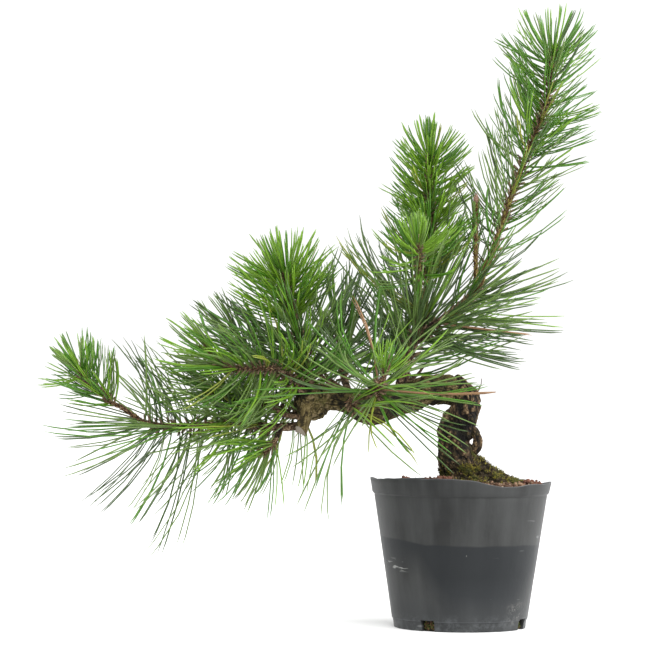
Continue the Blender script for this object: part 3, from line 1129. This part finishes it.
def build_buds():
    """Buds: spindles whose radius is R sin(pi t) raised to 0.7, with pale scales laid on them in a spiral."""
    rng = np.random.default_rng(SEED + 90)
    spindles = []
    scales = []
    order = np.arange(BUD_SCALES)
    step = (order + 0.5) / BUD_SCALES
    for name, length, radius in BUDS:
        path, _ = stem_path(name)
        tip = path[-1]
        axis = unit(path[-1] - path[-6])
        share = np.linspace(0.03, 0.97, 12)
        points = tip - 0.2 * length * axis + share[:, None] * length * axis
        rings, _ = swept_rings(points, radius * np.sin(np.pi * share) ** 0.7, 12)
        spindles.append(closed_rings(rings))
        radial = turned(*sides_of(axis[None]), (order * GOLDEN_TURN)[:, None])
        reach = radius * np.sin(np.pi * (0.05 + 0.8 * step)) ** 0.7
        start = tip + axis * ((step - 0.2) * length)[:, None] + radial * (0.8 * reach)[:, None]
        scales.append(scale_bodies(start, unit(axis + 0.35 * radial), radial, rng, 0.5))
    for name, shapes, colour in (("bud_cores", spindles, (0.20, 0.115, 0.075)),
                                 ("bud_scales", scales, (0.48, 0.36, 0.30))):
        item = put_mesh(name, join_shapes(shapes), plain_variety(name, colour, 0.35, 900.0, 0.7))
        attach(item, "root")


def scale_bodies(root, direction, radial, rng, size=1.0):
    """Brown scales: short pointed leaves laid against the stem, their tips bent away from it."""
    count = len(root)
    length = size * rng.uniform(2.0, 4.2, count)
    share = np.array([0.0, 0.4, 0.75, 1.0])
    side = unit(np.cross(direction, radial))
    up = np.cross(side, direction)
    line = root[:, None] + reach_out(direction, length, share) + reach_out(radial, 0.30 * length, share ** 2)
    widths = size * np.array([0.75, 0.8, 0.45, 0.1])[None] * rng.uniform(0.7, 1.1, (count, 1))
    return slim_bodies(line, side, up, widths, 0.3, 3)


def limb_samples():
    """Points along every limb with their radii, to keep needles out of the wood."""
    samples = np.vstack([smooth_route(limb.route, 40) for limb in LIMBS])
    return samples[:, :3], samples[:, 3]


def stem_path(name):
    """Points along a shoot or a bough, and its radius at each."""
    for shoot in SHOOTS:
        if shoot.name == name:
            return smooth_route(shoot.route, 120), np.linspace(*shoot.radii, 120)
    limb = next(item for item in LIMBS if item.node == name)
    path = smooth_route(limb.route, 120)
    return path[:, :3], path[:, 3]


def grow_pairs(tuft, density, rng):
    """Needle pairs by the source's rule: even steps along the span, each turned on by the golden angle,
    leaving the stem at the opening angle, which changes evenly along the span as the length does.
    """
    path, radii = stem_path(tuft.stem)
    count = int(tuft.pairs * density)
    order = np.arange(count)
    share = (order + 0.5) / count
    root, axis, radius = on_path(path, radii, tuft.span[0] + (tuft.span[1] - tuft.span[0]) * share)
    turn = (order * GOLDEN_TURN + rng.uniform(-0.35, 0.35, count))[:, None]
    opening = tuft.opening[0] + (tuft.opening[1] - tuft.opening[0]) * share + rng.normal(0.0, 8.0, count)
    opening = np.radians(np.clip(opening, 0.0, 86.0))[:, None]
    radial = turned(*sides_of(axis), turn)
    direction = unit(turned(axis, radial, opening) + np.array(tuft.lean))
    length = tuft.length[0] + (tuft.length[1] - tuft.length[0]) * share
    length = length * (1.0 + rng.normal(0.0, 0.09, count).clip(-0.3, 0.16))
    return root + radial * (0.8 * radius), direction, length, axis


def spun_sides(direction, rng):
    """Two unit vectors square to each direction, turned by chance round it."""
    side, up = sides_of(direction)
    spin = rng.uniform(0.0, FULL_TURN, len(direction))[:, None]
    return turned(side, up, spin), turned(up, -side, spin)


def tuft_lines(tuft, density, split):
    """Middle lines of both needles of every pair of a tuft, with each pair's root, direction, sides, length
    and kind: root + direction L t + (curl + droop down) L t squared + bow forward L (t squared - t). The bow
    turns a needle's outer part to the tip of its stem and leaves its ends in place. Tips are drawn some way
    to the tip of the likest third pair, so that needles stand in small bundles with gaps between them.
    """
    rng = np.random.default_rng((SEED, tuft.seed))
    root, direction, length, axis = grow_pairs(tuft, density, rng)
    count = len(root)
    side, up = spun_sides(direction, rng)
    half_split = np.tan(rng.uniform(*split, count))[:, None]
    shared = rng.normal(0.0, tuft.curl, (count, 1)) * up + np.array([0.0, 0.0, -tuft.droop])
    kind = rng.choice(len(KINDS), count, p=MIXES[tuft.mix])
    order = np.arange(count)
    leader = order[::3]
    likeness = direction @ direction[leader].T - 0.015 * np.abs(order[:, None] - leader)
    nearest = leader[np.argmax(likeness, axis=1)]
    tip = root + direction * length[:, None]
    pull = OLD_CLUMPING if tuft.mix in OLD_MIXES else CLUMPING
    tip = tip + pull * (tip[nearest] - tip)
    direction = unit(tip - root)
    forward = axis - direction * (axis * direction).sum(axis=1, keepdims=True)
    bow = BOW * forward * rng.uniform(0.3, 1.7, (count, 1))
    bow = bow + rng.normal(0.0, 0.5 * tuft.curl, (count, 1)) * side
    lines = []
    for twin in (-1.0, 1.0):
        way = unit(direction + twin * half_split * side)
        curl = shared + rng.normal(0.0, 0.5 * tuft.curl, (count, 1)) * side
        own = length * (1.0 + rng.normal(0.0, 0.02, count))
        lines.append((root + twin * 0.25 * side)[:, None] + reach_out(way, own, NEEDLE_RINGS)
                     + reach_out(curl, own, NEEDLE_RINGS ** 2)
                     + reach_out(bow, own, NEEDLE_RINGS ** 2 - NEEDLE_RINGS))
    return lines, root, direction, side, up, length, kind, rng


def keeps_clear(line, samples, radii):
    """True for each needle that stays out of the wood, the pot, the soil and the ground."""
    free = line[:, 2:]
    clear = np.ones(len(line), dtype=bool)
    for start in range(0, len(line), 400):
        part = free[start:start + 400]
        gaps = np.linalg.norm(part[:, :, None] - samples[None, None], axis=-1)
        clear[start:start + 400] = (gaps > radii + WOOD_GAP).all(axis=(1, 2))
    spread = np.hypot(free[..., 0], free[..., 1])
    in_pot = (spread < RIM_RADIUS + POT_GAP) & (free[..., 2] < POT_HEIGHT + POT_GAP)
    low = [side / MM - PAST_BOX_LOW for side in CAD_BOX[0][:2]] + [LOWEST_NEEDLE]
    high = [side / MM + PAST_BOX_HIGH for side in CAD_BOX[1]]
    boxed = (free > np.array(low)).all(axis=(1, 2)) & (free < np.array(high)).all(axis=(1, 2))
    for corner, other in BARE_BOXES:
        inside = (free > np.array(corner)).all(axis=2) & (free < np.array(other)).all(axis=2)
        clear &= ~inside.any(axis=1)
    return clear & ~in_pot.any(axis=1) & boxed


def build_needles(settings):
    """Needles in pairs, each pair in one sheath, joined by kind."""
    samples, radii = limb_samples()
    bodies = {kind: [] for kind in range(len(KINDS))}
    sheaths = []
    split = (settings.split_least, settings.split_most)
    for tuft in TUFTS:
        lines, root, direction, side, up, length, kind, rng = tuft_lines(tuft, settings.density, split)
        kept = np.zeros(len(root), dtype=bool)
        half_width = 0.5 * tuft.width * settings.width * NEEDLE_SWELL[None]
        for twin, line in zip((-1.0, 1.0), lines):
            keep = keeps_clear(line, samples, radii)
            kept |= keep
            widths = half_width * rng.uniform(0.88, 1.1, (len(root), 1))
            for number in range(len(KINDS)):
                chosen = keep & (kind == number)
                if chosen.any():
                    bodies[number].append(slim_bodies(line[chosen], up[chosen], -side[chosen] * twin,
                                                      widths[chosen], settings.flatness, 3))
        sheath_length = np.minimum(SHEATH_LENGTH, SHEATH_SHARE * length)[kept]
        line = root[kept][:, None] + reach_out(direction[kept], sheath_length, np.array([0.0, 0.5, 1.0]))
        widths = np.repeat(np.array([[0.95, 1.0, 0.82]]), kept.sum(), axis=0)
        sheaths.append(slim_bodies(line, side[kept], up[kept], widths, 0.85, 4))
    colours = settings.colours()
    for number, kind in enumerate(KINDS):
        material = plain_variety(f"needle_{kind}", colours[kind], 0.2, 90.0, settings.roughness, 0.38)
        item = put_mesh(f"needles_{kind}", join_shapes(bodies[number]), material)
        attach(item, "root")
        if kind == "fresh":
            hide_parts(*YOUNG_MASSES)
        if kind == "deep":
            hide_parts(*old_masses())
    grey = plain_variety("sheath_grey", (0.125, 0.084, 0.048), 0.55, 500.0, 0.8)
    item = put_mesh("needle_sheaths", join_shapes(sheaths), grey)
    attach(item, "root")


def old_masses():
    return [name for name in frame["nodes"] if name.startswith("needles_") and name not in YOUNG_MASSES]


def build_floor(settings):
    """A wide round floor: rings of radius r at the height 0, so that no edge shows."""
    rings = np.stack([around(radius, ring_turns(96), height) for radius, height in FLOOR_RINGS])
    maker = NodeMaker("floor_paper", 0.9, 0.1)
    shade = tuple(settings.floor_colour)
    duller = tuple(0.985 * part for part in shade)
    maker.colour(maker.mix(maker.spread(maker.noise(3.0), 0.3, 0.7), shade, duller))
    floor = put_mesh("floor", closed_rings(rings), maker.material, sharp=30.0)


def aim_light(name, light, place):
    """Put a light at a place and turn it to the plant."""
    lamp = bpy.data.objects.new(name, light)
    bpy.context.scene.collection.objects.link(lamp)
    lamp.location = place
    way = np.array(LIGHT_TARGET) - np.array(place)
    flat = math.hypot(way[0], way[1])
    lamp.rotation_euler = (math.atan2(flat, -way[2]), 0.0, math.atan2(-way[0], way[1]))


def add_softbox(name, place, size, power):
    light = bpy.data.lights.new(name, "AREA")
    light.shape = "DISK"
    light.size = size
    light.energy = power
    aim_light(name, light, place)


def build_stage(settings):
    """Floor, white surroundings, a broad overhead key, two softboxes, and the camera at the photograph's
    place.
    """
    build_floor(settings)
    world = bpy.data.worlds.new("white_room")
    world.use_nodes = True
    background = world.node_tree.nodes["Background"]
    background.inputs["Color"].default_value = (1.0, 1.0, 1.0, 1.0)
    background.inputs["Strength"].default_value = settings.room_light
    scene = bpy.context.scene
    scene.world = world
    scene.view_settings.view_transform = "Standard"
    key = bpy.data.lights.new("overhead_key", "SUN")
    key.energy = settings.key_light
    key.angle = settings.key_spread
    aim_light("overhead_key", key, KEY_PLACE)
    for name, place, size, share in SOFTBOXES:
        add_softbox(name, place, size, share * settings.side_light)
    camera = bpy.data.cameras.new("camera")
    camera.sensor_width = SENSOR
    camera.lens = CAMERA_FOCUS_PIXELS / PHOTO_PIXELS * SENSOR
    camera.clip_end = 60.0
    viewer = bpy.data.objects.new("camera", camera)
    scene.collection.objects.link(viewer)
    viewer.location = [part * MM for part in CAMERA_PLACE]
    viewer.rotation_euler = (math.radians(90.0), -CAMERA_ROLL, 0.0)
    scene.camera = viewer


def colour_property(name, description, default):
    return FloatVectorProperty(name=name, description=description, default=default, subtype="COLOR",
                               size=3, min=0.0, max=1.0)


def number_property(name, description, default, low, high, **kinds):
    return FloatProperty(name=name, description=description, default=default, min=low, max=high, **kinds)


def angle_property(name, description, degrees, most):
    return number_property(name, description, math.radians(degrees), 0.0, math.radians(most), subtype="ANGLE")


class PineFinish(bpy.types.PropertyGroup):
    """Colours of the pot."""
    wall_colour: colour_property("Wall", "Weathered plastic of the pot", (0.0268, 0.0278, 0.0276))
    band_colour: colour_property("Band", "Cleaner band round the pot", (0.0112, 0.0130, 0.0148))


class PineNeedles(bpy.types.PropertyGroup):
    """Sizes and colours of the needles."""
    density: number_property("Density", "Share of the pairs in every tuft", 1.0, 0.1, 3.0, subtype="FACTOR")
    width: number_property("Width", "Share of each tuft's needle width", 1.26, 0.3, 4.0, subtype="FACTOR")
    flatness: number_property("Flatness", "Thickness of a needle as a share of its width", 0.75, 0.1, 1.0,
                              subtype="FACTOR")
    split_least: angle_property("Least split", "Smallest half angle of a pair", 1.0, 20.0)
    split_most: angle_property("Most split", "Largest half angle of a pair", 4.5, 30.0)
    roughness: number_property("Roughness", "Roughness of a needle", 0.36, 0.0, 1.0, subtype="FACTOR")
    bright: colour_property("Bright", "Newest needles", (0.135, 0.265, 0.018))
    fresh: colour_property("Fresh", "This year's needles", (0.060, 0.165, 0.012))
    middle: colour_property("Middle", "Full-grown needles", (0.112, 0.185, 0.042))
    deep: colour_property("Deep", "Last year's needles", (0.050, 0.092, 0.024))
    yellow: colour_property("Yellow", "Yellowing needles", (0.200, 0.240, 0.030))
    dead: colour_property("Dead", "Dead needles", (0.230, 0.130, 0.065))

    def colours(self):
        return {kind: tuple(getattr(self, kind)) for kind in KINDS}


class PineStage(bpy.types.PropertyGroup):
    """Light and floor."""
    floor_colour: colour_property("Floor", "Pale floor", (0.80, 0.80, 0.80))
    room_light: number_property("Room", "Strength of the white surroundings", 1.1, 0.0, 5.0)
    key_light: number_property("Key", "Strength of the broad overhead light", 2.9, 0.0, 20.0)
    key_spread: angle_property("Key spread", "Angle that the overhead light fills", 50.0, 180.0)
    side_light: number_property("Sides", "Power of the right softbox; the left one has a share of it", 52.0,
                                0.0, 1000.0, unit="POWER")


class PINE_OT_pot(bpy.types.Operator):
    """Turn the pot's shell with its cut rim and drain notches"""
    bl_idname = "pine.pot"
    bl_label = "Pot"

    def execute(self, context):
        build_pot(context.scene.pine_finish)
        return {"FINISHED"}


class PINE_OT_soil(bpy.types.Operator):
    """Lay the soil with its grains, clods and chips"""
    bl_idname = "pine.soil"
    bl_label = "Soil"

    def execute(self, context):
        build_soil()
        build_grains()
        build_clods()
        return {"FINISHED"}


class PINE_OT_moss(bpy.types.Operator):
    """Grow the moss on the trunk's foot"""
    bl_idname = "pine.moss"
    bl_label = "Moss"

    def execute(self, context):
        build_moss()
        return {"FINISHED"}


class PINE_OT_limbs(bpy.types.Operator):
    """Sweep trunk, arm, stub and boughs with their bark"""
    bl_idname = "pine.limbs"
    bl_label = "Limbs"

    def execute(self, context):
        build_limbs()
        return {"FINISHED"}


class PINE_OT_shoots(bpy.types.Operator):
    """Sweep the stems of the needle masses and set their scales"""
    bl_idname = "pine.shoots"
    bl_label = "Shoots"

    def execute(self, context):
        build_shoots()
        return {"FINISHED"}


class PINE_OT_needles(bpy.types.Operator):
    """Grow the needles on the shoots"""
    bl_idname = "pine.needles"
    bl_label = "Needles"

    def execute(self, context):
        build_needles(context.scene.pine_needles)
        return {"FINISHED"}


class PINE_OT_stage(bpy.types.Operator):
    """Set the floor, the lights and the camera"""
    bl_idname = "pine.stage"
    bl_label = "Stage"

    def execute(self, context):
        build_stage(context.scene.pine_stage)
        return {"FINISHED"}


OPERATORS = (PINE_OT_stage, PINE_OT_pot, PINE_OT_soil, PINE_OT_moss, PINE_OT_limbs, PINE_OT_shoots,
             PINE_OT_needles)


class PINE_PT_panel(bpy.types.Panel):
    """Panel that lists the pine's settings and steps"""
    bl_label = "Black pine"
    bl_idname = "PINE_PT_panel"
    bl_space_type = "VIEW_3D"
    bl_region_type = "UI"
    bl_category = "Pine"

    def draw(self, context):
        layout = self.layout
        for group in (context.scene.pine_finish, context.scene.pine_needles, context.scene.pine_stage):
            box = layout.box()
            for name in group.__annotations__:
                box.prop(group, name)
        for operator in OPERATORS:
            layout.operator(operator.bl_idname)


GROUPS = {"pine_finish": PineFinish, "pine_needles": PineNeedles, "pine_stage": PineStage}


def register():
    for name, group in GROUPS.items():
        bpy.utils.register_class(group)
        setattr(bpy.types.Scene, name, PointerProperty(type=group))
    for operator in OPERATORS:
        bpy.utils.register_class(operator)
    bpy.utils.register_class(PINE_PT_panel)


def unregister():
    bpy.utils.unregister_class(PINE_PT_panel)
    for operator in reversed(OPERATORS):
        bpy.utils.unregister_class(operator)
    for name, group in reversed(GROUPS.items()):
        delattr(bpy.types.Scene, name)
        bpy.utils.unregister_class(group)


def clear_start_objects():
    """Remove the lamp, the cube and the camera that a new file starts with."""
    for item in list(bpy.data.objects):
        if item.parent is None and item.type in {"LIGHT", "CAMERA"} or item.name == "Cube":
            bpy.data.objects.remove(item, do_unlink=True)


def main():
    register()
    clear_start_objects()
    bpy.ops.pine.stage()
    bpy.ops.pine.pot()
    bpy.ops.pine.soil()
    bpy.ops.pine.moss()
    bpy.ops.pine.limbs()
    bpy.ops.pine.shoots()
    bpy.ops.pine.needles()


if __name__ == "__main__":
    main()
